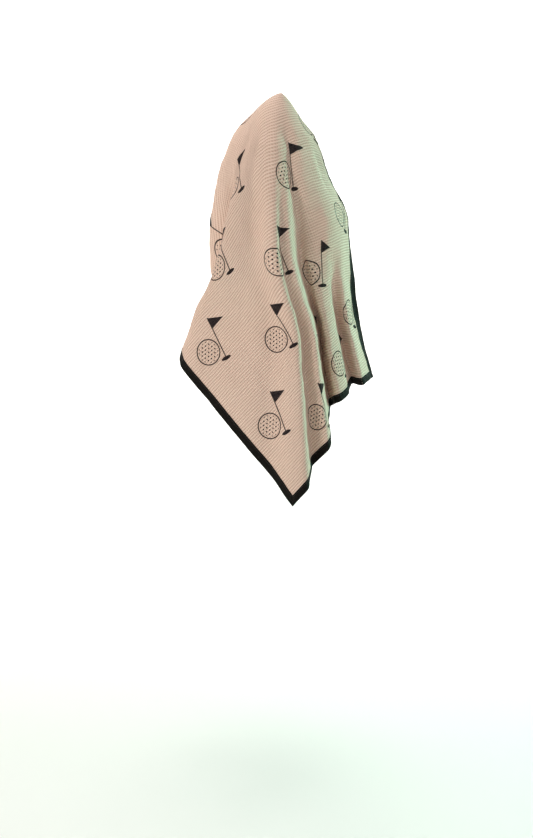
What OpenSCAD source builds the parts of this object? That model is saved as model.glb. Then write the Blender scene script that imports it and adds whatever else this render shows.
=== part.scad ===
// Golf towel, hanging over the club heads of a carried bag.
// A waffle-weave panel with a black tape folded round each of its four hems and
// one row of lockstitch through each tape: a needle thread on the face and a
// bobbin thread on the back. Millimetres, +Z up. The origin is the underside of
// the cloth at its peak, where a club head holds it up; the front faces -Y.
//
// Flat coordinates: u runs along the short hems from the left one to the right
// one, v runs along the long hems from the front one to the back one.

/* [Towel] */
// Width across the short hems
towel_w = 508; // [406:1:610]
// Length along the long hems
towel_l = 1016; // [813:1:1220]
// Thickness of the waffle cloth
cloth_t = 1.6; // [1:0.1:2.4]

/* [Binding] */
// Width of the tape that shows on each face
tape_w = 12; // [8:0.5:18]
// Thickness of the tape
tape_t = 0.6; // [0.3:0.05:1]
// Air between the tape and the cloth inside it
tape_fit = 0.3; // [0.1:0.05:0.5]

/* [Stitching] */
// Thickness of the sewing threads
thread_d = 0.6; // [0.3:0.05:1]
// Distance from the tape's inner edge to the row of stitches
stitch_inset = 2.5; // [1.5:0.1:4]
// Air between a thread and the tape that it lies on
thread_fit = 0.1; // [0.02:0.01:0.2]

/* [Hang] */
// Distance from the right long hem to the point that it hangs from
peak_right = 85; // [70:1:140]
// Distance from the front short hem to the point that it hangs from
peak_front = 494; // [420:1:590]
// Lean of the cloth just below the peak, as a share of its length
crown_lean = 0.27; // [0.22:0.01:0.3]
// How much further it leans to the left there than to the right
crown_shift = 0.05; // [0:0.01:0.08]
// Extra spread that the club heads give the cloth near the top
shoulder = 125; // [90:5:140]
// Length of cloth over which that spread builds up
shoulder_run = 60; // [50:5:80]
// Length of cloth over which it dies away again
shoulder_end = 300; // [250:10:340]
// Length of cloth lost to the bend over the top
crown_loss = 10; // [5:1:12]
// Distance from the peak where the first folds begin
fold_start = 30; // [20:5:50]

/* [Mesh] */
// Longest side of a facet
facet = 18; // [16:1:30]

/* [Hidden] */

cloth_colour = "#dcbfa9";
tape_colour = "#15110f";
thread_colour = "#241d1a";

// The place of the peak on the flat towel
peak = [towel_w - peak_right, peak_front];
// Lengths of cloth from the peak over which each fold plan takes over from the
// one above it: the shoulder plan from the smooth crown, then the waist plan,
// then the hem plan
SHOULDER_RUN = [fold_start, 110];
WAIST_RUN = [130, 240];
HEM_RUN = [240, 400];

// The fold plans, seen from above: where each crest and valley of the hanging
// cloth stands, as [right, back] lean in percent of the cloth's spread. Each
// goes round in the same seven stretches, with the same number of points in
// each: from the front right corner to the front left corner (0), to the left
// side (1), to the back left corner (2), to the back right corner (3), along
// the back half of the right hem (4), over the gap between the halves (5) and
// along the front half (6).
HEM_PLAN = [
    [[30, 9], [27, -0.5], [23.5, 4], [21.5, -5.5], [18, -9], [15.5, -1], [14.5, -9],
        [13.5, -19], [8.5, -18], [7, -24], [3, -23.5]],
    [[3, -23.5], [-3, -20], [-10, -18.5], [-22, -13.5], [-33.5, -8]],
    [[-33.5, -8], [-34, 0], [-23, 2.5], [-12, 1], [-14, 7], [-26, 10], [-27.5, 15.5],
        [-17, 13], [-6, 8], [-7, 13], [-15, 20.5], [-12, 24.5], [-4, 20]],
    [[-4, 20], [0, 24.5], [5, 22], [3, 16], [1, 10], [5, 8.5], [8.5, 14], [10, 20.5],
        [14.5, 18.5], [17, 14.5]],
    [[17, 14.5], [21, 18.5], [24, 24], [20, 28]],
    [[20, 28], [25, 13.5]],
    [[25, 13.5], [28, 18], [32.5, 17.5], [33.5, 12.5], [30, 9]]
];
WAIST_PLAN = [
    [[30.5, 0], [28, -6], [24, -11], [19, -13.5], [13.5, -14.5], [9, -13], [7, -18],
        [4.5, -25], [0, -25.5], [-2.5, -29.5], [-7, -28.5]],
    [[-7, -28.5], [-10.5, -25], [-14, -23], [-20, -22.5], [-27, -20.5]],
    [[-27, -20.5], [-26, -17], [-20, -16], [-13, -14], [-18, -10.5], [-29, -7.5], [-34.5, 0],
        [-31, 7.5], [-22, 9], [-20, 14], [-23, 20], [-18, 26], [-9, 25]],
    [[-9, 25], [-4, 28.5], [2, 27], [3, 22], [3, 17.5], [7, 16], [10.5, 20], [13.5, 24.5],
        [18, 21.5], [20, 17.5]],
    [[20, 17.5], [24.5, 19], [27.5, 23], [24, 26.5]],
    [[24, 26.5], [28, 14]],
    [[28, 14], [31, 16], [32.5, 12], [32.5, 6.5], [30.5, 0]]
];
SHOULDER_PLAN = [
    [[23.5, -9.5], [22, -13], [18.5, -16.5], [15.5, -19], [12, -21], [8, -22], [5, -23],
        [2.5, -26], [-0.5, -28], [-4.5, -29.5], [-9.5, -29.5]],
    [[-9.5, -29.5], [-13, -28.5], [-16.5, -27.3], [-19.5, -25.8], [-22.5, -24]],
    [[-22.5, -24], [-24.5, -21.5], [-27, -19], [-29, -15.5], [-31.5, -12], [-34.5, -6],
        [-36, 0], [-35.5, 7], [-33, 13], [-29, 17], [-24, 21], [-18, 25], [-11, 27]],
    [[-11, 27], [-8, 28], [-5, 28.7], [-2, 28.5], [1, 28.5], [4, 28], [7, 27.5], [9.5, 26.5],
        [12, 25], [14, 23]],
    [[14, 23], [18, 20], [21.5, 16], [24.5, 12]],
    [[24.5, 12], [27.5, 1]],
    [[27.5, 1], [27, -1.5], [26.2, -4], [25, -6.8], [23.5, -9.5]]
];

// Share of the way from the front left to the back left corner, round the flat
// towel, at which the left hem passes the side
SIDE_TURN = 0.24;
// Angle round the flat towel that either half of the right hem takes up
HEM_TURN = 26;
// Points that the curve through the fold plan gets between two of its points
CURVE_STEPS = 8;

// Just below the peak the cloth goes round like this: [angle round the flat
// towel, angle round the hanging cloth], from the right side over the front
CROWN_TURN = [
    [-40, -58], [40, -10], [80, 25], [129, 97], [154, 150], [180, 182],
    [230, 232], [280, 282], [320, 302], [400, 350]
];

// --- The fold plans as smooth curves ------------------------------------------

// Point t (0 to 1) of the smooth curve from b to c, with neighbours a and d
function smooth_between(a, b, c, d, t) =
    0.5 * (2 * b + (c - a) * t + (2 * a - 5 * b + 4 * c - d) * t * t
        + (3 * b - a - 3 * c + d) * t * t * t);

// All points of a plan once, as shares
function plan_points(plan) = [for (w = plan, i = [0:len(w) - 2]) w[i] / 100];

// The closed smooth curve through points p
function curve_through(p) =
    let (n = len(p))
    [
        for (i = [0:n - 1], k = [0:CURVE_STEPS - 1])
            smooth_between(p[(i + n - 1) % n], p[i], p[(i + 1) % n], p[(i + 2) % n], k / CURVE_STEPS),
        p[0]
    ];

HEM_CURVE = curve_through(plan_points(HEM_PLAN));
WAIST_CURVE = curve_through(plan_points(WAIST_PLAN));
SHOULDER_CURVE = curve_through(plan_points(SHOULDER_PLAN));

// Direction of the hanging cloth that leans by p
function hang(p) = [p[0], p[1], -sqrt(1 - p * p)];

// Running lengths along the directions of the hem curve
RUN = [
    for (i = 0, sum = 0; i < len(HEM_CURVE);
        sum = sum + (i + 1 < len(HEM_CURVE) ? norm(hang(HEM_CURVE[i + 1]) - hang(HEM_CURVE[i])) : 0),
        i = i + 1) sum
];

// Angle of flat point q round the peak: 0 is right, 90 is to the front
function flat_angle(q) = (atan2(peak[1] - q[1], q[0] - peak[0]) + 360) % 360;

FRONT_RIGHT_TURN = flat_angle([towel_w, 0]);
FRONT_LEFT_TURN = flat_angle([0, 0]);
BACK_LEFT_TURN = flat_angle([0, towel_l]);
BACK_RIGHT_TURN = flat_angle([towel_w, towel_l]);

// Flat angles at the ends of the stretches
TURNS = [
    FRONT_RIGHT_TURN,
    FRONT_LEFT_TURN,
    FRONT_LEFT_TURN + SIDE_TURN * (BACK_LEFT_TURN - FRONT_LEFT_TURN),
    BACK_LEFT_TURN,
    BACK_RIGHT_TURN,
    BACK_RIGHT_TURN + HEM_TURN,
    FRONT_RIGHT_TURN + 360 - HEM_TURN,
    FRONT_RIGHT_TURN + 360
];

// Curve points at the ends of the stretches
function stretch_start(k) = k == 0 ? 0
    : stretch_start(k - 1) + (len(HEM_PLAN[k - 1]) - 1) * CURVE_STEPS;

// Flat angle at each curve point: a stretch keeps its cloth evenly spaced
CURVE_TURN = [
    for (k = [0:len(HEM_PLAN) - 1])
        let (a = stretch_start(k), b = stretch_start(k + 1))
        for (i = [a:b - 1]) TURNS[k] + (TURNS[k + 1] - TURNS[k]) * (RUN[i] - RUN[a]) / (RUN[b] - RUN[a]),
    TURNS[len(HEM_PLAN)]
];

// A curve's lean to the right (0) or back (1), by flat angle
function lean_table(curve, axis) = [for (i = [0:len(curve) - 1]) [CURVE_TURN[i], curve[i][axis]]];
HEM_LEAN = [lean_table(HEM_CURVE, 0), lean_table(HEM_CURVE, 1)];
WAIST_LEAN = [lean_table(WAIST_CURVE, 0), lean_table(WAIST_CURVE, 1)];
SHOULDER_LEAN = [lean_table(SHOULDER_CURVE, 0), lean_table(SHOULDER_CURVE, 1)];

// --- The hanging cloth -------------------------------------------------------

function ease(a, b, x) =
    let (t = max(0, min(1, (x - a) / (b - a)))) t * t * (3 - 2 * t);

// Lean at flat angle a, out of a pair of tables
function lean_at(tables, a) =
    let (b = a < FRONT_RIGHT_TURN ? a + 360 : a) [lookup(b, tables[0]), lookup(b, tables[1])];

// Lean a gives way to lean b over a run of cloth
function give_way(a, b, run, r) = let (t = ease(run[0], run[1], r)) (1 - t) * a + t * b;

// Lean of the smooth crown at flat angle a
function smooth_lean(a) =
    let (turn = lookup(a, CROWN_TURN))
    crown_lean * [cos(turn), -sin(turn)] - [crown_shift, 0];

// Place of flat point (u, v) on the middle of the hanging cloth. Its distance r
// from the peak is kept: the lean times the spread is how far out it hangs, and
// the rest of r is how far down. It never hangs out by quite all of r.
function drape(u, v) =
    let (
        r = norm([u, v] - peak),
        a = flat_angle([u, v]),
        shoulders = give_way(smooth_lean(a), lean_at(SHOULDER_LEAN, a), SHOULDER_RUN, r),
        waist = give_way(shoulders, lean_at(WAIST_LEAN, a), WAIST_RUN, r),
        lean = give_way(waist, lean_at(HEM_LEAN, a), HEM_RUN, r),
        spread = r + shoulder * (1 - exp(-r / shoulder_run)) * exp(-pow(r / shoulder_end, 4)),
        slant = max(0.001, r - crown_loss * (1 - exp(-r / (shoulder_run - 10)))),
        reach = lean * spread / slant,
        out = slant * reach / pow(1 + pow(norm(reach), 6), 1 / 6)
    )
    [out[0], out[1], cloth_t / 2 - sqrt(max(0, slant * slant - out * out))];

// --- Facets of the cloth -----------------------------------------------------

// Grid lines across a side of length l: one at each hem, one at each tape's
// inner edge, and even steps between those
function grid_lines(l) =
    let (n = ceil((l - 2 * tape_w) / facet))
    [0, for (i = [0:n]) tape_w + (l - 2 * tape_w) * i / n, l];
US = grid_lines(towel_w);
VS = grid_lines(towel_l);
NU = len(US);
NV = len(VS);

MIDDLE = [for (v = VS) [for (u = US) drape(u, v)]];

function unit(a) = a / norm(a);

// Outward direction at a grid point, from its neighbours
FACING = [
    for (j = [0:NV - 1]) [
        for (i = [0:NU - 1])
            unit(cross(
                MIDDLE[j][min(i + 1, NU - 1)] - MIDDLE[j][max(i - 1, 0)],
                MIDDLE[min(j + 1, NV - 1)][i] - MIDDLE[max(j - 1, 0)][i]
            ))
    ]
];

// Number of the grid cell that x lies in
function cell(x, lines) =
    let (below = [for (l = lines) if (l <= x) 1])
    max(0, min(len(lines) - 2, len(below) - 1));

// A cell of the grid is cut into two triangles along a diagonal. The cut of a
// corner cell runs to the towel's own corner
function cut_from_corner(i, j) = (i == 0 && j == 0) || (i == NU - 2 && j == NV - 2)
    || !((i == NU - 2 && j == 0) || (i == 0 && j == NV - 2));

// Table m, read at (u, v) on the triangles of the cloth and straight on past
// the hems
function between(m, u, v) =
    let (
        i = cell(u, US),
        j = cell(v, VS),
        s = (u - US[i]) / (US[i + 1] - US[i]),
        t = (v - VS[j]) / (VS[j + 1] - VS[j]),
        a = m[j][i],
        b = m[j + 1][i],
        c = m[j + 1][i + 1],
        d = m[j][i + 1]
    )
    cut_from_corner(i, j)
        ? (s > t ? a + s * (d - a) + t * (c - d) : a + t * (b - a) + s * (c - b))
        : (s + t < 1 ? a + s * (d - a) + t * (b - a) : c + (1 - s) * (b - c) + (1 - t) * (d - c));

// Point at (u, v), raised by h over the middle of the cloth
function over_cloth(u, v, h) = between(MIDDLE, u, v) + h * unit(between(FACING, u, v));

// --- Bodies on the cloth -----------------------------------------------------

// Two triangles for the face a, b, c, d, cut from a to c or else from b to d
function halves(a, b, c, d, from_a) = from_a ? [[a, b, c], [a, c, d]] : [[a, b, d], [b, c, d]];

module panel() {
    n = NU * NV;
    points = [
        for (h = [cloth_t / 2, -cloth_t / 2], j = [0:NV - 1], i = [0:NU - 1])
            MIDDLE[j][i] + h * FACING[j][i]
    ];
    face = [
        for (j = [0:NV - 2], i = [0:NU - 2])
            let (a = j * NU + i)
            each halves(a, a + NU, a + NU + 1, a + 1, cut_from_corner(i, j))
    ];
    rim = [
        for (i = [0:NU - 2]) i,
        for (j = [0:NV - 2]) j * NU + NU - 1,
        for (i = [NU - 1:-1:1]) (NV - 1) * NU + i,
        for (j = [NV - 1:-1:1]) j * NU
    ];
    polyhedron(points, [
        each face,
        for (f = face) [f[2] + n, f[1] + n, f[0] + n],
        for (k = [0:len(rim) - 1])
            let (a = rim[k], b = rim[(k + 1) % len(rim)])
            each halves(a, b, b + n, a + n, true)
    ]);
}

// A body swept along rings of the same number of points, with its end faces cut
// into the triangles of caps. Side i of it is cut from its first corner if cuts[i]
module swept(rings, caps, cuts) {
    k = len(rings[0]);
    last = (len(rings) - 1) * k;
    polyhedron([for (r = rings) each r], [
        for (s = [0:len(rings) - 2], i = [0:k - 1])
            let (a = s * k + i, b = s * k + (i + 1) % k)
            each halves(a, b, b + k, a + k, cuts[i]),
        for (c = caps) [c[2], c[1], c[0]],
        for (c = caps) [c[0] + last, c[1] + last, c[2] + last]
    ]);
}

// Hems: 0 front, 1 back, 2 left, 3 right. Place of the point that is w inside
// hem k and s along it
function on_hem(k, w, s) =
    k == 0 ? [s, w] : k == 1 ? [s, towel_l - w] : k == 2 ? [w, s] : [towel_w - w, s];
function hem_length(k) = k < 2 ? towel_w : towel_l;
function hem_lines(k) = k < 2 ? US : VS;
// On two hems, inwards and along turn the other way round
function hem_turned(k) = k == 1 || k == 2;
// On two hems, the cloth's diagonals run from the inner edge on to the hem
function cut_from_inside(k) = k == 1 || k == 3;

// Half the air between two tapes where they meet in a mitre
mitre_gap = 0.3;
inner_h = cloth_t / 2 + tape_fit;
outer_h = inner_h + tape_t;
// The tape round the hem as [distance inside the hem, height over the cloth]
TAPE = [
    [tape_w, outer_h], [-tape_fit - tape_t, outer_h], [-tape_fit - tape_t, -outer_h],
    [tape_w, -outer_h], [tape_w, -inner_h], [-tape_fit, -inner_h],
    [-tape_fit, inner_h], [tape_w, inner_h]
];
TAPE_CAPS = [[0, 1, 6], [0, 6, 7], [1, 2, 5], [1, 5, 6], [2, 3, 4], [2, 4, 5]];
// Both skins of a flap are cut along the cloth's own diagonals, so that they stay
// parallel where the hem twists
function tape_cuts(k) = let (x = cut_from_inside(k)) [x, true, !x, true, x, false, !x, true];

// Ring of outline on hem k, at s along it, held back by the mitres at its ends
function hem_ring(k, outline, s, gap) =
    let (
        ring = [
            for (q = outline)
                let (
                    near = q[0] + gap,
                    far = hem_length(k) - near,
                    p = on_hem(k, q[0], max(near, min(far, s)))
                )
                over_cloth(p[0], p[1], q[1])
        ]
    )
    hem_turned(k) ? [for (i = [len(ring) - 1:-1:0]) ring[i]] : ring;

// Distance from a corner to the first ring past its mitre
mitre_end = tape_w + 2 * mitre_gap;
// Places along hem k that get a ring: its mitres, and the grid lines between them
function hem_places(k) =
    let (l = hem_length(k), lines = hem_lines(k))
    [
        -mitre_end, mitre_end,
        for (s = lines) if (s > mitre_end && s < l - mitre_end) s,
        l - mitre_end, l + mitre_end
    ];

// The same, and the places between them where the stitches cross a diagonal
function stitch_places(k) =
    let (
        places = hem_places(k),
        n = len(places),
        share = (tape_w - stitch_inset) / tape_w,
        ahead = cut_from_inside(k) ? 1 - share : share
    )
    [
        for (i = [0:n - 1])
            each i == 0 || i > n - 3 ? [places[i]]
                : [places[i], places[i] + ahead * (places[i + 1] - places[i])]
    ];

module binding(k) {
    color(tape_colour)
        swept(
            [for (s = hem_places(k)) hem_ring(k, TAPE, s, mitre_gap)],
            hem_turned(k) ? [for (c = TAPE_CAPS) [7 - c[2], 7 - c[1], 7 - c[0]]] : TAPE_CAPS,
            tape_cuts(k)
        );
}

// A thread along hem k, on the face (side 1) or on the back (side -1)
module thread(k, side) {
    w = tape_w - stitch_inset;
    h = side * (outer_h + thread_fit + thread_d / 2);
    outline = [
        [w + thread_d / 2, h], [w, h + thread_d / 2], [w - thread_d / 2, h], [w, h - thread_d / 2]
    ];
    color(thread_colour)
        swept(
            [for (s = stitch_places(k)) hem_ring(k, outline, s, thread_d)],
            [[0, 1, 2], [0, 2, 3]],
            [true, true, true, true]
        );
}

module towel_panel() {
    color(cloth_colour) panel();
}
module front_binding() binding(0);
module back_binding() binding(1);
module left_binding() binding(2);
module right_binding() binding(3);
module front_needle_thread() thread(0, 1);
module back_needle_thread() thread(1, 1);
module left_needle_thread() thread(2, 1);
module right_needle_thread() thread(3, 1);
module front_bobbin_thread() thread(0, -1);
module back_bobbin_thread() thread(1, -1);
module left_bobbin_thread() thread(2, -1);
module right_bobbin_thread() thread(3, -1);

towel_panel();
front_binding();
back_binding();
left_binding();
right_binding();
front_needle_thread();
back_needle_thread();
left_needle_thread();
right_needle_thread();
front_bobbin_thread();
back_bobbin_thread();
left_bobbin_thread();
right_bobbin_thread();
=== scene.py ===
"""Golf towel of waffle microfibre with a black bound hem, hanging over club heads.

Lengths are in millimetres until a mesh is made, when they become metres. Flat
coordinates: u runs along the short hems from the left one to the right one, v
runs along the long hems from the front one to the back one.
"""

import math

import bpy
import numpy as np
from mathutils import Matrix, Vector


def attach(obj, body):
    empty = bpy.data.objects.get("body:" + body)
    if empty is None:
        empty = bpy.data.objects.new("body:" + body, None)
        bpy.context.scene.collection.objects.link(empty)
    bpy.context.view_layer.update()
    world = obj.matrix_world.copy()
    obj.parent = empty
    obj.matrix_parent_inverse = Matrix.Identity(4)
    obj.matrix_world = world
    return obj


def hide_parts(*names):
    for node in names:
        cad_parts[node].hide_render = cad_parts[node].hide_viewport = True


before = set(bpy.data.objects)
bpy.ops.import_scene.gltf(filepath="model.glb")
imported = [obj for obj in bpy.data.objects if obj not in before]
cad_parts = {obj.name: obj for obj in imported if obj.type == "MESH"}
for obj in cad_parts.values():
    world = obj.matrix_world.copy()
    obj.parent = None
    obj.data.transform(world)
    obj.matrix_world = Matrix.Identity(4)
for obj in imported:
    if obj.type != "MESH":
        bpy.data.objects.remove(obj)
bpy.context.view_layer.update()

# --- Sizes of the towel --------------------------------------------------------

TOWEL_W = 508.0
TOWEL_L = 1016.0
CLOTH_T = 1.6
TAPE_W = 12.0
TAPE_T = 0.6
STITCH_INSET = 2.5
STITCH_LENGTH = 3.0
STITCH_GAP = 0.7
THREAD_D = 0.6
PEAK = (TOWEL_W - 85.0, 494.0)
# How much the tape squeezes the cloth on each side, the air left under it, and the
# air between each tape and its mitre line
TAPE_SQUEEZE = 0.25
TAPE_GAP = 0.05
MITRE_GAP = 0.25

# How the cloth hangs: its lean just below the peak, the extra spread that the club
# heads give it, and the length lost to the bend over the top
CROWN_LEAN = 0.27
CROWN_SHIFT = 0.05
CROWN_LOSS = 10.0
CROWN_BEND = 50.0
SHOULDER = 125.0
SHOULDER_RUN = 60.0
SHOULDER_END = 300.0
REACH_POWER = 6.0
# Distances from the peak between which each plan of folds takes over
SHOULDER_FADE = (30.0, 110.0)
WAIST_FADE = (130.0, 240.0)
HEM_FADE = (240.0, 400.0)
# The left hem's first stretch as a share of its turn round the peak, and the right
# hem's first and last stretches in degrees of theirs
SIDE_TURN = 0.24
HEM_TURN = 26.0

# Crest and valley leans in percent of the spread, as the part's fold plans give them
HEM_PLAN = [
    [[30, 9], [27, -0.5], [23.5, 4], [21.5, -5.5], [18, -9], [15.5, -1], [14.5, -9],
     [13.5, -19], [8.5, -18], [7, -24], [3, -23.5]],
    [[3, -23.5], [-3, -20], [-10, -18.5], [-22, -13.5], [-33.5, -8]],
    [[-33.5, -8], [-34, 0], [-23, 2.5], [-12, 1], [-14, 7], [-26, 10], [-27.5, 15.5],
     [-17, 13], [-6, 8], [-7, 13], [-15, 20.5], [-12, 24.5], [-4, 20]],
    [[-4, 20], [0, 24.5], [5, 22], [3, 16], [1, 10], [5, 8.5], [8.5, 14], [10, 20.5],
     [14.5, 18.5], [17, 14.5]],
    [[17, 14.5], [21, 18.5], [24, 24], [20, 28]],
    [[20, 28], [25, 13.5]],
    [[25, 13.5], [28, 18], [32.5, 17.5], [33.5, 12.5], [30, 9]],
]
WAIST_PLAN = [
    [[30.5, 0], [28, -6], [24, -11], [19, -13.5], [13.5, -14.5], [9, -13], [7, -18],
     [4.5, -25], [0, -25.5], [-2.5, -29.5], [-7, -28.5]],
    [[-7, -28.5], [-10.5, -25], [-14, -23], [-20, -22.5], [-27, -20.5]],
    [[-27, -20.5], [-26, -17], [-20, -16], [-13, -14], [-18, -10.5], [-29, -7.5], [-34.5, 0],
     [-31, 7.5], [-22, 9], [-20, 14], [-23, 20], [-18, 26], [-9, 25]],
    [[-9, 25], [-4, 28.5], [2, 27], [3, 22], [3, 17.5], [7, 16], [10.5, 20], [13.5, 24.5],
     [18, 21.5], [20, 17.5]],
    [[20, 17.5], [24.5, 19], [27.5, 23], [24, 26.5]],
    [[24, 26.5], [28, 14]],
    [[28, 14], [31, 16], [32.5, 12], [32.5, 6.5], [30.5, 0]],
]
SHOULDER_PLAN = [
    [[23.5, -9.5], [22, -13], [18.5, -16.5], [15.5, -19], [12, -21], [8, -22], [5, -23],
     [2.5, -26], [-0.5, -28], [-4.5, -29.5], [-9.5, -29.5]],
    [[-9.5, -29.5], [-13, -28.5], [-16.5, -27.3], [-19.5, -25.8], [-22.5, -24]],
    [[-22.5, -24], [-24.5, -21.5], [-27, -19], [-29, -15.5], [-31.5, -12], [-34.5, -6],
     [-36, 0], [-35.5, 7], [-33, 13], [-29, 17], [-24, 21], [-18, 25], [-11, 27]],
    [[-11, 27], [-8, 28], [-5, 28.7], [-2, 28.5], [1, 28.5], [4, 28], [7, 27.5], [9.5, 26.5],
     [12, 25], [14, 23]],
    [[14, 23], [18, 20], [21.5, 16], [24.5, 12]],
    [[24.5, 12], [27.5, 1]],
    [[27.5, 1], [27, -1.5], [26.2, -4], [25, -6.8], [23.5, -9.5]],
]
CROWN_TURN = [
    [-40, -58], [40, -10], [80, 25], [129, 97], [154, 150], [180, 182],
    [230, 232], [280, 282], [320, 302], [400, 350],
]
CURVE_STEPS = 24


# --- The hanging cloth ---------------------------------------------------------

def ease(a, b, x):
    """Nought before a, one after b, and 3t^2 - 2t^3 in between."""
    t = np.clip((x - a) / (b - a), 0.0, 1.0)
    return t * t * (3.0 - 2.0 * t)


def closed_curve(plan):
    """A Catmull-Rom curve round all the points of a plan: on each span the usual
    cubic of the point before, the span's two ends and the point after."""
    p = np.array([q for stretch in plan for q in stretch[:-1]], float) / 100.0
    a, b = np.roll(p, 1, 0)[:, None], p[:, None]
    c, d = np.roll(p, -1, 0)[:, None], np.roll(p, -2, 0)[:, None]
    t = (np.arange(CURVE_STEPS) / CURVE_STEPS)[None, :, None]
    q = 2 * b + (c - a) * t + (2 * a - 5 * b + 4 * c - d) * t ** 2
    q = 0.5 * (q + (3 * b - a - 3 * c + d) * t ** 3)
    q = q.reshape(-1, 2)
    return np.vstack([q, q[:1]])


def flat_turn(u, v):
    """Angle of a flat point round the peak in degrees, 0 to the right and 90 to the front."""
    return np.degrees(np.arctan2(PEAK[1] - v, u - PEAK[0])) % 360.0


def curve_turns(curve):
    """Flat angle at each point of the hem curve: within a stretch it grows in step
    with the length run along the directions (x, y, -sqrt(1 - x^2 - y^2))."""
    down = -np.sqrt(1.0 - (curve ** 2).sum(1))
    way = np.column_stack([curve, down])
    run = np.concatenate([[0.0], np.cumsum(np.linalg.norm(np.diff(way, axis=0), axis=1))])
    fr, fl = flat_turn(TOWEL_W, 0.0), flat_turn(0.0, 0.0)
    bl, br = flat_turn(0.0, TOWEL_L), flat_turn(TOWEL_W, TOWEL_L)
    side = fl + SIDE_TURN * (bl - fl)
    ends = [fr, fl, side, bl, br, br + HEM_TURN, fr + 360.0 - HEM_TURN, fr + 360.0]
    at = np.cumsum([0] + [(len(s) - 1) * CURVE_STEPS for s in HEM_PLAN])
    return np.interp(run, run[at], ends)


HEM_CURVE = closed_curve(HEM_PLAN)
WAIST_CURVE = closed_curve(WAIST_PLAN)
SHOULDER_CURVE = closed_curve(SHOULDER_PLAN)
CURVE_TURN = curve_turns(HEM_CURVE)


def hang(u, v):
    """Place of flat point (u, v) on the middle of the cloth. Its straight distance from
    the peak is its flat distance r less up to CROWN_LOSS. It hangs out by the lean of
    its fold times the spread of the cloth there, held under that distance, and what
    is left of the distance is how far down it is."""
    r = np.hypot(u - PEAK[0], v - PEAK[1])
    turn = flat_turn(u, v)
    around = np.where(turn < CURVE_TURN[0], turn + 360.0, turn)
    table = np.array(CROWN_TURN, float)
    crown = np.radians(np.interp(turn, table[:, 0], table[:, 1]))
    x = CROWN_LEAN * np.cos(crown) - CROWN_SHIFT
    y = -CROWN_LEAN * np.sin(crown)
    plans = ((SHOULDER_CURVE, SHOULDER_FADE), (WAIST_CURVE, WAIST_FADE), (HEM_CURVE, HEM_FADE))
    for curve, (start, full) in plans:
        w = ease(start, full, r)
        x = (1.0 - w) * x + w * np.interp(around, CURVE_TURN, curve[:, 0])
        y = (1.0 - w) * y + w * np.interp(around, CURVE_TURN, curve[:, 1])
    extra = SHOULDER * (1.0 - np.exp(-r / SHOULDER_RUN))
    spread = r + extra * np.exp(-(r / SHOULDER_END) ** 4)
    slant = np.maximum(r - CROWN_LOSS * (1.0 - np.exp(-r / CROWN_BEND)), 0.001)
    x, y = x * spread / slant, y * spread / slant
    held = slant / (1.0 + np.hypot(x, y) ** REACH_POWER) ** (1.0 / REACH_POWER)
    x, y = x * held, y * held
    z = CLOTH_T / 2 - np.sqrt(np.maximum(slant ** 2 - x ** 2 - y ** 2, 0.0))
    return np.stack([x, y, z], -1)


def wave(x):
    return np.sin(2.0 * math.pi * x)


PUCKER_REACH = 16.0


def rumple(u, v):
    """Small soft unevenness of the cloth, in millimetres along its normal: a few long
    waves that drift across each other, and short puckers that the row of stitches
    pulls into the cloth beside each tape and that die out over PUCKER_REACH."""
    drift = 0.25 * wave(v / 210.0 + 0.1)
    soft = 0.85 * wave(u / 83.0 + drift) * wave(v / 147.0 + 0.3)
    soft = soft + 0.6 * wave(u / 47.0 + v / 118.0) * wave(v / 73.0 - u / 260.0)
    soft = soft + 0.18 * wave(u / 23.0 - v / 61.0) * wave(v / 29.0 + u / 97.0)
    r = np.hypot(u - PEAK[0], v - PEAK[1])
    soft = soft * ease(20.0, 90.0, r)
    side = np.minimum(u, TOWEL_W - u)
    end = np.minimum(v, TOWEL_L - v)
    beside_side = np.exp(-((side - TAPE_W) / PUCKER_REACH) ** 2) * ease(-2.0, 14.0, end)
    beside_end = np.exp(-((end - TAPE_W) / PUCKER_REACH) ** 2) * ease(-2.0, 14.0, side)
    pucker = beside_side * wave(v / 13.0 + 0.3 * wave(v / 57.0)) * (0.6 + 0.4 * wave(v / 41.0))
    pucker = pucker + beside_end * wave(u / 12.0 + 0.3 * wave(u / 49.0)) * (0.6 + 0.4 * wave(u / 37.0))
    return soft + 0.32 * pucker


def cloth(u, v, h):
    """Point raised by h over the middle of the rumpled cloth at (u, v), along the
    cross product of its slopes in u and v."""
    e = 0.5
    du = hang(u + e, v) - hang(u - e, v)
    dv = hang(u, v + e) - hang(u, v - e)
    n = np.cross(du, dv)
    n = n / np.maximum(np.linalg.norm(n, axis=-1, keepdims=True), 1e-9)
    return hang(u, v) + n * (h + rumple(u, v))[..., None]


# --- Mesh making ---------------------------------------------------------------

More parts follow.
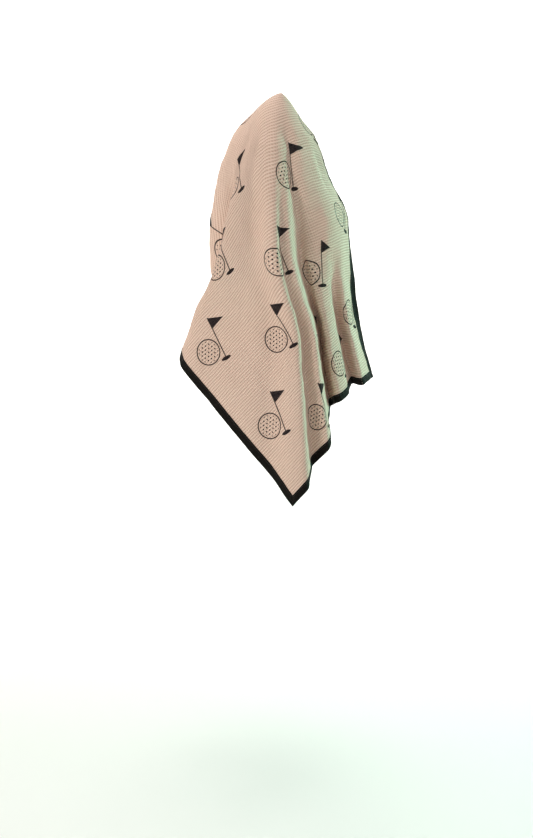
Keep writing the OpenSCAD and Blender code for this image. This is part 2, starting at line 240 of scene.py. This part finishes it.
def mesh_piece(name, points, faces, uv, materials, face_material=None, smooth=True):
    """A mesh object in metres from points in millimetres, faces as arrays of corner
    numbers (rows of equal length, or a list of such arrays) and flat coordinates in
    metres for each point."""
    groups = faces if isinstance(faces, list) else [faces]
    me = bpy.data.meshes.new(name)
    me.vertices.add(len(points))
    me.vertices.foreach_set("co", (points / 1000.0).astype(np.float32).ravel())
    corners = np.concatenate([g.ravel() for g in groups])
    sizes = np.concatenate([np.full(len(g), g.shape[1]) for g in groups])
    starts = np.concatenate([[0], np.cumsum(sizes)[:-1]])
    me.loops.add(len(corners))
    me.loops.foreach_set("vertex_index", corners.astype(np.int32))
    me.polygons.add(len(sizes))
    me.polygons.foreach_set("loop_start", starts.astype(np.int32))
    me.update(calc_edges=True)
    me.polygons.foreach_set("use_smooth", np.full(len(sizes), smooth))
    layer = me.uv_layers.new(name="flat")
    layer.data.foreach_set("uv", uv[corners].astype(np.float32).ravel())
    for m in materials:
        me.materials.append(m)
    if face_material is not None:
        me.polygons.foreach_set("material_index", face_material.astype(np.int32))
    me.validate()
    me.update()
    ob = bpy.data.objects.new(name, me)
    bpy.context.scene.collection.objects.link(ob)
    return ob


def lines(length, step):
    """Even grid lines from 0 to length, no further apart than step, with extra lines
    close to both ends for the rim under the tape."""
    n = int(math.ceil((length - 2 * TAPE_W) / step))
    inside = np.linspace(TAPE_W, length - TAPE_W, n + 1)
    edge = np.array([0.0, 4.0, 8.0])
    return np.concatenate([edge, inside, length - edge[::-1]])


# Longest sides of a face of the cloth, along u and along v
PANEL_STEPS = (4.1, 4.5)


def towel_panel(materials):
    """The cloth between its hems: one closed skin of two grids, the face at half the
    cloth's thickness over its middle and the reverse at half under it, joined by a
    rim. Under the tape the cloth is squeezed by TAPE_SQUEEZE a side."""
    us, vs = lines(TOWEL_W, PANEL_STEPS[0]), lines(TOWEL_L, PANEL_STEPS[1])
    u, v = np.meshgrid(us, vs)
    side = np.minimum(np.minimum(u, TOWEL_W - u), np.minimum(v, TOWEL_L - v))
    half = CLOTH_T / 2 - TAPE_SQUEEZE * (1.0 - ease(TAPE_W - 3.0, TAPE_W + 3.0, side))
    face = cloth(u, v, half).reshape(-1, 3)
    back = cloth(u, v, -half).reshape(-1, 3)
    nv, nu = u.shape
    n = nu * nv
    number = np.arange(n).reshape(nv, nu)
    a, b = number[:-1, :-1].ravel(), number[:-1, 1:].ravel()
    c, d = number[1:, 1:].ravel(), number[1:, :-1].ravel()
    faces = np.column_stack([a, b, c, d])
    backs = np.column_stack([d, c, b, a]) + n
    rim = np.concatenate([number[0, :], number[1:, -1], number[-1, -2::-1], number[-2:0:-1, 0]])
    nxt = np.roll(rim, -1)
    rims = np.column_stack([nxt, rim, rim + n, nxt + n])
    flat = np.column_stack([u.ravel(), v.ravel()]) / 1000.0
    which = np.concatenate([np.zeros(len(faces)), np.ones(len(backs) + len(rims))])
    return mesh_piece("towel_cloth", np.vstack([face, back]), np.vstack([faces, backs, rims]),
                      np.vstack([flat, flat]), materials, which)


# Hems: their flat length, and how (inset w, place s) becomes (u, v)
HEMS = {
    "front": (TOWEL_W, lambda w, s: (s, w)),
    "back": (TOWEL_W, lambda w, s: (s, TOWEL_L - w)),
    "left": (TOWEL_L, lambda w, s: (w, s)),
    "right": (TOWEL_L, lambda w, s: (TOWEL_W - w, s)),
}


# The most that a strip of flat cloth is widened, and the run over which that starts
MOST_STRETCH = 2.2
STRETCH_RUN = 45.0


def hem_stretch(hem, s):
    """How much flat cloth makes one millimetre across the hem at s, where the folds
    gather it, so that the tape nearly keeps its width. It is one at the mitres and
    MOST_STRETCH at most."""
    length, place = HEMS[hem]
    w = np.linspace(0.0, TAPE_W, 7)[:, None]
    across = hang(*np.broadcast_arrays(*place(w + 0 * s, s + 0 * w)))
    real = np.linalg.norm(np.diff(across, axis=0), axis=-1).sum(0)
    k = np.clip(TAPE_W / real, 1.0, MOST_STRETCH)
    pad = np.pad(k, 4, mode="edge")
    k = sum(pad[i:i + len(k)] for i in range(9)) / 9.0
    ends = ease(TAPE_W, TAPE_W + STRETCH_RUN, np.minimum(s, length - s))
    return 1.0 + (k - 1.0) * ends


def hem_rings(hem, w, h, s):
    """Points of rings along a hem: inset w and height h round each ring, place s along
    it, each point held back at the mitre, where inset and place are equal."""
    length, place = HEMS[hem]
    w, s = np.broadcast_arrays(w, s)
    k = np.interp(s[:, 0], s[:, 0], hem_stretch(hem, s[:, 0]))[:, None]
    near = w + MITRE_GAP
    held = np.clip(s, near, length - near)
    u, v = place(w * k, held)
    return cloth(u, v, np.broadcast_to(h, w.shape)), held


def tube_faces(rings, sides):
    """Quads between rings of points, and one many-sided face on each end."""
    i = np.arange(rings - 1)[:, None] * sides
    k = np.arange(sides)[None, :]
    j = (k + 1) % sides
    quads = np.stack([i + k, i + j, i + j + sides, i + k + sides], -1).reshape(-1, 4)
    first = np.arange(sides)[::-1][None, :]
    last = (np.arange(sides) + (rings - 1) * sides)[None, :]
    return [quads, first, last]


def turned(groups, flip):
    return [g[:, ::-1] for g in groups] if flip else groups


def binding(hem, material):
    """A tape folded round a hem: a closed profile of two flat flaps and a round fold,
    with slightly turned-in selvedges, carried along the hem from mitre to mitre."""
    length, _ = HEMS[hem]
    inner = CLOTH_T / 2 - TAPE_SQUEEZE + TAPE_GAP
    outer = inner + TAPE_T
    bend = np.linspace(math.pi / 2, -math.pi / 2, 9)
    face_w = np.array([TAPE_W, TAPE_W - 0.3, TAPE_W - 1.0, 9.0, 6.0, 3.0, 1.2])
    face_h = outer + np.array([-0.28, -0.05, 0.0, 0.02, 0.0, 0.04, 0.02])
    out_w = np.concatenate([face_w, 0.4 - 1.3 * np.cos(bend), face_w[::-1]])
    out_h = np.concatenate([face_h, outer * np.sin(bend), -face_h[::-1]])
    in_w = np.array([TAPE_W - 0.2, 6.0, 0.4, -0.3, -0.3, 0.4, 6.0, TAPE_W - 0.2])
    in_h = np.array([-inner, -inner, -inner, -0.3, 0.3, inner, inner, inner])
    w, h = np.concatenate([out_w, in_w]), np.concatenate([out_h, in_h])
    count = int(length / 3.5)
    s = np.linspace(-TAPE_W, length + TAPE_W, count)
    near = np.linspace(0.0, TAPE_W + 1.0, 9)
    s = np.sort(np.concatenate([s, near, length - near]))
    s = s[(s > -1.6) & (s < length + 1.6)]
    points, held = hem_rings(hem, w[None, :], h[None, :], s[:, None])
    around = np.concatenate([[0.0], np.cumsum(np.hypot(np.diff(w), np.diff(h)))])
    uv = np.stack([held, np.broadcast_to(around[None, :], held.shape)], -1) / 1000.0
    groups = tube_faces(len(s), len(w))
    groups = turned(groups, hem in ("front", "right"))
    return mesh_piece(hem + "_tape", points.reshape(-1, 3), groups, uv.reshape(-1, 2), [material])


def stitches(hem, side, material):
    """A row of lockstitches: each is a six-sided thread that rises out of the tape,
    lies along it and goes back in, so its height is a flat arch of its length."""
    length, place = HEMS[hem]
    w0 = TAPE_W - STITCH_INSET
    top = CLOTH_T / 2 - TAPE_SQUEEZE + TAPE_GAP + TAPE_T + THREAD_D * 0.32
    pitch = STITCH_LENGTH + STITCH_GAP
    first = w0 + 1.0
    n = int((length - 2 * first) / pitch)
    start = first + (length - 2 * first - n * pitch + STITCH_GAP) / 2 + pitch * np.arange(n)
    t = np.array([0.0, 0.1, 0.3, 0.7, 0.9, 1.0])
    thick = np.array([0.45, 0.85, 1.0, 1.0, 0.85, 0.45]) * THREAD_D / 2
    rise = np.array([-0.55, -0.12, 0.0, 0.0, -0.12, -0.55]) * THREAD_D
    ring = np.arange(6) * math.pi / 3
    s = start[:, None] + STITCH_LENGTH * t[None, :]
    stray = 0.12 * wave(start / 29.0) + 0.08 * wave(start / 7.3)
    w = w0 + stray[:, None, None] + (thick[:, None] * np.cos(ring)[None, :])[None]
    h = top + rise[:, None] + thick[:, None] * np.sin(ring)[None, :]
    h = np.broadcast_to(side * h[None], (n, len(t), 6))
    w = np.broadcast_to(w, h.shape)
    s3 = np.broadcast_to(s[:, :, None], h.shape)
    k = np.interp(s3, start, hem_stretch(hem, start))
    u, v = place(w * k, s3)
    points = cloth(u, v, h)
    base = tube_faces(len(t), 6)
    shift = (np.arange(n) * len(t) * 6)[:, None, None]
    groups = [(g[None] + shift).reshape(-1, g.shape[1]) for g in base]
    groups = turned(groups, (hem in ("front", "right")) == (side > 0))
    uv = np.stack([s3, np.broadcast_to(ring, h.shape)], -1).reshape(-1, 2) / 1000.0
    name = hem + ("_needle_stitches" if side > 0 else "_bobbin_stitches")
    return mesh_piece(name, points.reshape(-1, 3), groups, uv, [material])


# --- Materials -----------------------------------------------------------------

class Finish:
    """A material made of plain number nodes."""

    def __init__(self, name):
        self.material = bpy.data.materials.new(name)
        self.material.use_nodes = True
        self.tree = self.material.node_tree
        self.tree.nodes.clear()
        self.output = self.tree.nodes.new("ShaderNodeOutputMaterial")
        self.shader = self.tree.nodes.new("ShaderNodeBsdfPrincipled")
        self.tree.links.new(self.shader.outputs[0], self.output.inputs[0])

    def feed(self, socket, value):
        if isinstance(value, bpy.types.NodeSocket):
            self.tree.links.new(value, socket)
        else:
            socket.default_value = value

    def number(self, operation, a, b=None, c=None, clamp=False):
        node = self.tree.nodes.new("ShaderNodeMath")
        node.operation = operation
        node.use_clamp = clamp
        for socket, value in zip(node.inputs, (a, b, c)):
            if value is not None:
                self.feed(socket, value)
        return node.outputs[0]

    def add(self, a, b):
        return self.number("ADD", a, b)

    def less(self, a, b):
        return self.number("SUBTRACT", a, b)

    def times(self, a, b):
        return self.number("MULTIPLY", a, b)

    def length(self, x, y):
        return self.number("SQRT", self.add(self.times(x, x), self.times(y, y)))

    def inside(self, distance, soft):
        """One where distance is below nought, over a soft edge."""
        return self.number("MULTIPLY_ADD", distance, -1.0 / soft, 0.5, clamp=True)

    def both(self, a, b):
        return self.times(a, b)

    def either(self, *masks):
        total = masks[0]
        for m in masks[1:]:
            total = self.number("MAXIMUM", total, m)
        return total

    def flat(self):
        """u and v in millimetres, from the piece's own map."""
        node = self.tree.nodes.new("ShaderNodeUVMap")
        node.uv_map = "flat"
        split = self.tree.nodes.new("ShaderNodeSeparateXYZ")
        self.tree.links.new(node.outputs[0], split.inputs[0])
        self.map = node.outputs[0]
        return self.times(split.outputs[0], 1000.0), self.times(split.outputs[1], 1000.0)

    def noise(self, per_metre, detail=3.0, roughness=0.55, plane=True):
        """Soft noise over the flat map, or through the piece where plane is off."""
        place = self.map
        if not plane:
            node = self.tree.nodes.new("ShaderNodeTexCoord")
            place = node.outputs["Object"]
        node = self.tree.nodes.new("ShaderNodeTexNoise")
        node.inputs["Scale"].default_value = per_metre
        node.inputs["Detail"].default_value = detail
        node.inputs["Roughness"].default_value = roughness
        self.tree.links.new(place, node.inputs["Vector"])
        return node.outputs[0]

    def blend(self, share, a, b):
        node = self.tree.nodes.new("ShaderNodeMix")
        node.data_type = "RGBA"
        self.feed(node.inputs[0], share)
        self.feed(node.inputs[6], a)
        self.feed(node.inputs[7], b)
        return node.outputs[2]

    def bump(self, height, distance, strength=1.0, under=None):
        node = self.tree.nodes.new("ShaderNodeBump")
        node.inputs["Strength"].default_value = strength
        node.inputs["Distance"].default_value = distance
        self.tree.links.new(height, node.inputs["Height"])
        if under is not None:
            self.tree.links.new(under, node.inputs["Normal"])
        return node.outputs[0]

    def set(self, **values):
        for name, value in values.items():
            self.feed(self.shader.inputs[name.replace("_", " ")], value)


def colour(r, g, b):
    """A colour given as 0 to 255 on a screen."""
    c = [x / 255.0 for x in (r, g, b)]
    return tuple(x / 12.92 if x <= 0.04045 else ((x + 0.055) / 1.055) ** 2.4 for x in c) + (1.0,)


RIB_PITCH = 4.2
CROSS_PITCH = 3.0


def waffle(f, u, v):
    """Height of the weave from 0 in its pits to 1 on its ribs: strong ribs along u,
    one each RIB_PITCH of v, joined by lower ribs along v, one each CROSS_PITCH of u.
    Each is half a cosine wave, and the weave is one less the product of their pits."""
    sway = f.times(f.less(f.noise(60.0, 2.0), 0.5), 1.3)
    rib = f.number("COSINE", f.times(f.add(v, sway), 2.0 * math.pi / RIB_PITCH))
    rib = f.number("POWER", f.number("MULTIPLY_ADD", rib, 0.5, 0.5), 0.8)
    cross = f.number("COSINE", f.times(f.add(u, sway), 2.0 * math.pi / CROSS_PITCH))
    cross = f.number("MULTIPLY_ADD", cross, 0.3, 0.3)
    pits = f.times(f.less(1.0, rib), f.less(1.0, cross))
    return f.less(1.0, pits)


# The repeat of the print: columns along u, a half-drop between neighbours
COLUMN_PITCH = 101.0
ROW_PITCH = 157.0
FIRST_COLUMN = 68.0
FIRST_ROWS = (62.0, 128.0)
PRINT_TURN = math.radians(74.0)
# The motif, in its own axes: x to its right and y up it
INK_EDGE = 0.5
INK_LINE = 0.95
BALL_R = 20.0
BALL_PLACE = (-13.0, -12.0)
DIMPLE_PITCH = 6.4
DIMPLE_R = 1.3
DIMPLE_MARGIN = 3.0
POLE_X = 11.0
POLE_TOP = 36.0
PENNANT_HALF = 9.5
PENNANT_TIP = 37.0
TIP_HALF = 0.3
HOLE_Y = -34.0
HOLE_HALF = 9.0
HOLE_FLATNESS = 3.0


def golf_print(f, u, v):
    """Ink of the repeating print, 0 to 1: a flagstick with its pennant, the hole that
    it stands in, and an evenly dimpled ball. Each shape is a distance in millimetres,
    below nought inside, in axes turned with the print: x to its right and y up it."""
    column = f.number("ROUND", f.times(f.less(u, FIRST_COLUMN), 1.0 / COLUMN_PITCH))
    across = f.less(f.less(u, FIRST_COLUMN), f.times(column, COLUMN_PITCH))
    odd = f.number("PINGPONG", column, 1.0)
    drop = f.number("MULTIPLY_ADD", odd, FIRST_ROWS[0] - FIRST_ROWS[1], FIRST_ROWS[1])
    row = f.number("ROUND", f.times(f.less(v, drop), 1.0 / ROW_PITCH))
    along = f.less(f.less(v, drop), f.times(row, ROW_PITCH))
    s, c = math.sin(PRINT_TURN), math.cos(PRINT_TURN)
    x = f.less(f.times(across, s), f.times(along, c))
    y = f.add(f.times(across, c), f.times(along, s))
    from_ball_x, from_ball_y = f.less(x, BALL_PLACE[0]), f.less(y, BALL_PLACE[1])
    ball = f.less(f.length(from_ball_x, from_ball_y), BALL_R)
    outline = f.inside(f.less(f.number("ABSOLUTE", ball), INK_LINE), INK_EDGE)
    tall = DIMPLE_PITCH * math.sqrt(3.0)

    def lattice(shift):
        gx = f.number("ADD", f.times(from_ball_x, 1.0 / DIMPLE_PITCH), 0.5 + shift)
        gy = f.number("ADD", f.times(from_ball_y, 1.0 / tall), 0.5 + shift)
        dx = f.times(f.less(f.number("FRACT", gx), 0.5), DIMPLE_PITCH)
        dy = f.times(f.less(f.number("FRACT", gy), 0.5), tall)
        return f.length(dx, dy)

    dimple = f.number("MINIMUM", lattice(0.0), lattice(0.5))
    on_ball = f.inside(f.add(ball, DIMPLE_MARGIN), INK_EDGE)
    dots = f.both(f.inside(f.less(dimple, DIMPLE_R), INK_EDGE), on_ball)

    def stroke(ax, ay, bx, by, wide, narrow):
        """A straight stroke from a to b, wide at a and narrow at b."""
        lx, ly = bx - ax, by - ay
        size = lx * lx + ly * ly
        px, py = f.less(x, ax), f.less(y, ay)
        t = f.add(f.times(px, lx / size), f.times(py, ly / size))
        t = f.number("MINIMUM", f.number("MAXIMUM", t, 0.0), 1.0)
        d = f.length(f.less(px, f.times(t, lx)), f.less(py, f.times(t, ly)))
        return f.inside(f.less(d, f.number("MULTIPLY_ADD", t, narrow - wide, wide)), INK_EDGE)

    pole = stroke(POLE_X, HOLE_Y, POLE_X, POLE_TOP, INK_LINE, INK_LINE)
    pennant_y = POLE_TOP - PENNANT_HALF
    taper = stroke(POLE_X, pennant_y, PENNANT_TIP, pennant_y, PENNANT_HALF, TIP_HALF)
    pennant = f.both(taper, f.inside(f.less(POLE_X, x), INK_EDGE))
    flattened = f.times(f.less(y, HOLE_Y), HOLE_FLATNESS)
    from_hole = f.length(f.less(x, POLE_X), flattened)
    hole = f.inside(f.less(from_hole, HOLE_HALF), INK_EDGE)
    return f.either(outline, dots, pole, pennant, hole)


def waffle_cloth(printed):
    """Microfibre waffle: pale peach, duller in the pits of the weave and darker there by
    painted shade, with a soft drift of colour over the cloth and a fibrous fuzz on its ribs."""
    f = Finish("waffle_cloth_face" if printed else "waffle_cloth_reverse")
    u, v = f.flat()
    weave = waffle(f, u, v)
    drift = f.noise(7.0, 3.0)
    fuzz = f.noise(900.0, 4.0, 0.7)
    pale = f.blend(drift, colour(236, 207, 189), colour(246, 222, 207))
    # Painted shade: the pits of the weave take this darker colour for the shade that falls in them,
    # blended in by the height of the weave
    pit_shade = f.blend(drift, colour(198, 162, 142), colour(210, 176, 157))
    base = f.blend(f.number("POWER", weave, 1.2), pit_shade, pale)
    speck = f.number("MULTIPLY_ADD", fuzz, 0.22, 0.89)
    if printed:
        ink = golf_print(f, u, v)
        patchy = f.number("MULTIPLY_ADD", f.noise(260.0, 3.0), 0.12, 0.92, clamp=True)
        held = f.times(f.times(ink, patchy), f.number("MULTIPLY_ADD", weave, 0.02, 0.975))
        base = f.blend(held, base, colour(13, 9, 19))
    tinted = f.tree.nodes.new("ShaderNodeVectorMath")
    tinted.operation = "SCALE"
    f.feed(tinted.inputs[0], base)
    f.feed(tinted.inputs["Scale"], speck)
    rough = f.number("MULTIPLY_ADD", weave, -0.10, 0.98)
    low = f.bump(weave, 0.0011)
    fine = f.bump(fuzz, 0.00025, 0.7, under=low)
    f.set(Base_Color=tinted.outputs[0], Roughness=rough, Normal=fine)
    f.set(Specular_IOR_Level=0.1, Sheen_Weight=0.05, Sheen_Roughness=0.5)
    f.shader.inputs["Sheen Tint"].default_value = colour(255, 240, 228)
    return f.material


# Where the fold lies on the way round the tape, and half its width
FOLD_PLACE = 13.7
FOLD_HALF = 1.4


def tape_material():
    """Black woven tape: fine ribs across it and a little wear along its fold."""
    f = Finish("black_woven_tape")
    along, around = f.flat()
    rib = f.number("SINE", f.times(along, 2.0 * math.pi / 0.9))
    warp = f.number("SINE", f.times(around, 2.0 * math.pi / 0.6))
    weave = f.number("MULTIPLY_ADD", f.times(rib, warp), 0.5, 0.5)
    lint = f.noise(420.0, 4.0, 0.65, plane=False)
    wear = f.noise(38.0, 3.0, plane=False)
    fold = f.number("ABSOLUTE", f.less(around, FOLD_PLACE))
    fold = f.inside(f.less(fold, FOLD_HALF), 2.4)
    worn = f.times(fold, wear)
    base = f.blend(f.number("MULTIPLY_ADD", weave, 0.6, 0.0), colour(9, 7, 6), colour(26, 22, 20))
    base = f.blend(f.number("MULTIPLY_ADD", worn, 0.5, 0.0), base, colour(74, 66, 60))
    base = f.blend(f.number("MULTIPLY_ADD", lint, 0.5, -0.24, clamp=True), base, colour(96, 88, 80))
    rough = f.number("MULTIPLY_ADD", weave, -0.12, 0.86)
    f.set(Base_Color=base, Roughness=rough, Normal=f.bump(weave, 0.00012, 0.8))
    f.set(Specular_IOR_Level=0.12, Sheen_Weight=0.02, Sheen_Roughness=0.5)
    return f.material


def thread_material():
    """Black polyester thread with the slanting lines of its two twisted plies."""
    f = Finish("black_sewing_thread")
    along, around = f.flat()
    slant = f.add(f.times(along, 2.0 * math.pi / 1.1), f.times(around, 1.0))
    ply = f.number("MULTIPLY_ADD", f.number("SINE", slant), 0.5, 0.5)
    shade = f.noise(150.0, 2.0, plane=False)
    base = f.blend(ply, colour(12, 10, 10), colour(52, 46, 42))
    base = f.blend(f.times(shade, 0.3), base, colour(70, 62, 56))
    f.set(Base_Color=base, Roughness=f.number("MULTIPLY_ADD", ply, -0.15, 0.6))
    f.set(Normal=f.bump(ply, 0.0001, 0.7), Specular_IOR_Level=0.45)
    return f.material


# --- The towel -----------------------------------------------------------------

face_material = waffle_cloth(True)
reverse_material = waffle_cloth(False)
tape = tape_material()
thread = thread_material()

panel = towel_panel([face_material, reverse_material])
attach(panel, "root")
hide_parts("towel_panel")
for hem in HEMS:
    piece = binding(hem, tape)
    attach(piece, "root")
    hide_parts(hem + "_binding")
    for side, row in ((1, "_needle_thread"), (-1, "_bobbin_thread")):
        piece = stitches(hem, side, thread)
        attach(piece, "root")
        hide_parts(hem + row)


# --- Camera, floor and lights ----------------------------------------------------

# The lens in millimetres, its turns in degrees, and the floor in metres
CAMERA_LENS = 55.16
CAMERA_PITCH = 16.1
CAMERA_YAW = 0.4313
FLOOR_DROP = 1.1


def camera():
    """A long lens in front of the towel and a little above it, looking down."""
    data = bpy.data.cameras.new("camera")
    data.sensor_fit = "VERTICAL"
    data.sensor_height = 24.0
    data.lens = CAMERA_LENS
    ob = bpy.data.objects.new("camera", data)
    bpy.context.scene.collection.objects.link(ob)
    pitch, yaw = math.radians(CAMERA_PITCH), math.radians(CAMERA_YAW)
    ob.location = (0.0, -3.0, 0.342)
    ob.rotation_euler = (math.pi / 2 - pitch, 0.0, yaw)
    bpy.context.scene.camera = ob


def sweep():
    """Pale floor FLOOR_DROP metres under the peak that curves up far behind: a grid whose height
    is nought up to 3 m back and then a quarter circle of 2 m radius into a wall."""
    t = np.linspace(-8.0, 12.0, 81)
    bend = np.clip((t - 3.0) / 2.0, 0.0, math.pi / 2)
    y = np.minimum(t, 3.0) + 2.0 * np.sin(bend)
    z = 2.0 * (1.0 - np.cos(bend)) + np.maximum(t - 3.0 - math.pi, 0.0)
    x = np.linspace(-9.0, 9.0, 3)
    gx, gy = np.meshgrid(x, y)
    gz = np.broadcast_to(z[:, None], gx.shape) - FLOOR_DROP
    points = np.stack([gx, gy, gz], -1).reshape(-1, 3) * 1000.0
    number = np.arange(gx.size).reshape(gx.shape)
    quads = np.column_stack([number[:-1, :-1].ravel(), number[:-1, 1:].ravel(),
                             number[1:, 1:].ravel(), number[1:, :-1].ravel()])
    f = Finish("studio_floor")
    f.set(Base_Color=colour(233, 231, 228), Roughness=0.85, Specular_IOR_Level=0.1)
    floor = mesh_piece("studio_floor", points, quads, points[:, :2] / 1000.0, [f.material])


def lamp(name, place, target, size, power, tint):
    data = bpy.data.lights.new(name, "AREA")
    data.shape = "DISK"
    data.size = size
    data.energy = power
    data.color = tint
    ob = bpy.data.objects.new(name, data)
    bpy.context.scene.collection.objects.link(ob)
    way = Vector(target) - Vector(place)
    ob.matrix_world = Matrix.Translation(place) @ way.to_track_quat("-Z", "Y").to_matrix().to_4x4()


camera()
sweep()
lamp("key_light", (-2.3, -1.9, 1.3), (0, 0, -0.3), 0.8, 46, (1.0, 0.94, 0.88))
lamp("mint_light", (2.0, 0.75, -0.1), (0, 0, -0.35), 0.35, 34, (0.3, 1.0, 0.78))
lamp("back_light", (-0.8, 2.4, 1.5), (0, 0, -0.2), 1.2, 16, (1.0, 0.98, 0.95))
lamp("backdrop_light", (0, 2.6, 2.6), (0, 5.0, 0.9), 3.0, 300, (1.0, 1.0, 1.0))
lamp("floor_light", (0, 0.9, 3.6), (0, 1.2, -1.1), 2.0, 50, (1.0, 1.0, 1.0))
world = bpy.data.worlds.new("studio")
world.use_nodes = True
world.node_tree.nodes["Background"].inputs[0].default_value = (1.0, 0.99, 0.975, 1.0)
world.node_tree.nodes["Background"].inputs[1].default_value = 0.42
bpy.context.scene.world = world
bpy.context.scene.view_settings.view_transform = "Standard"
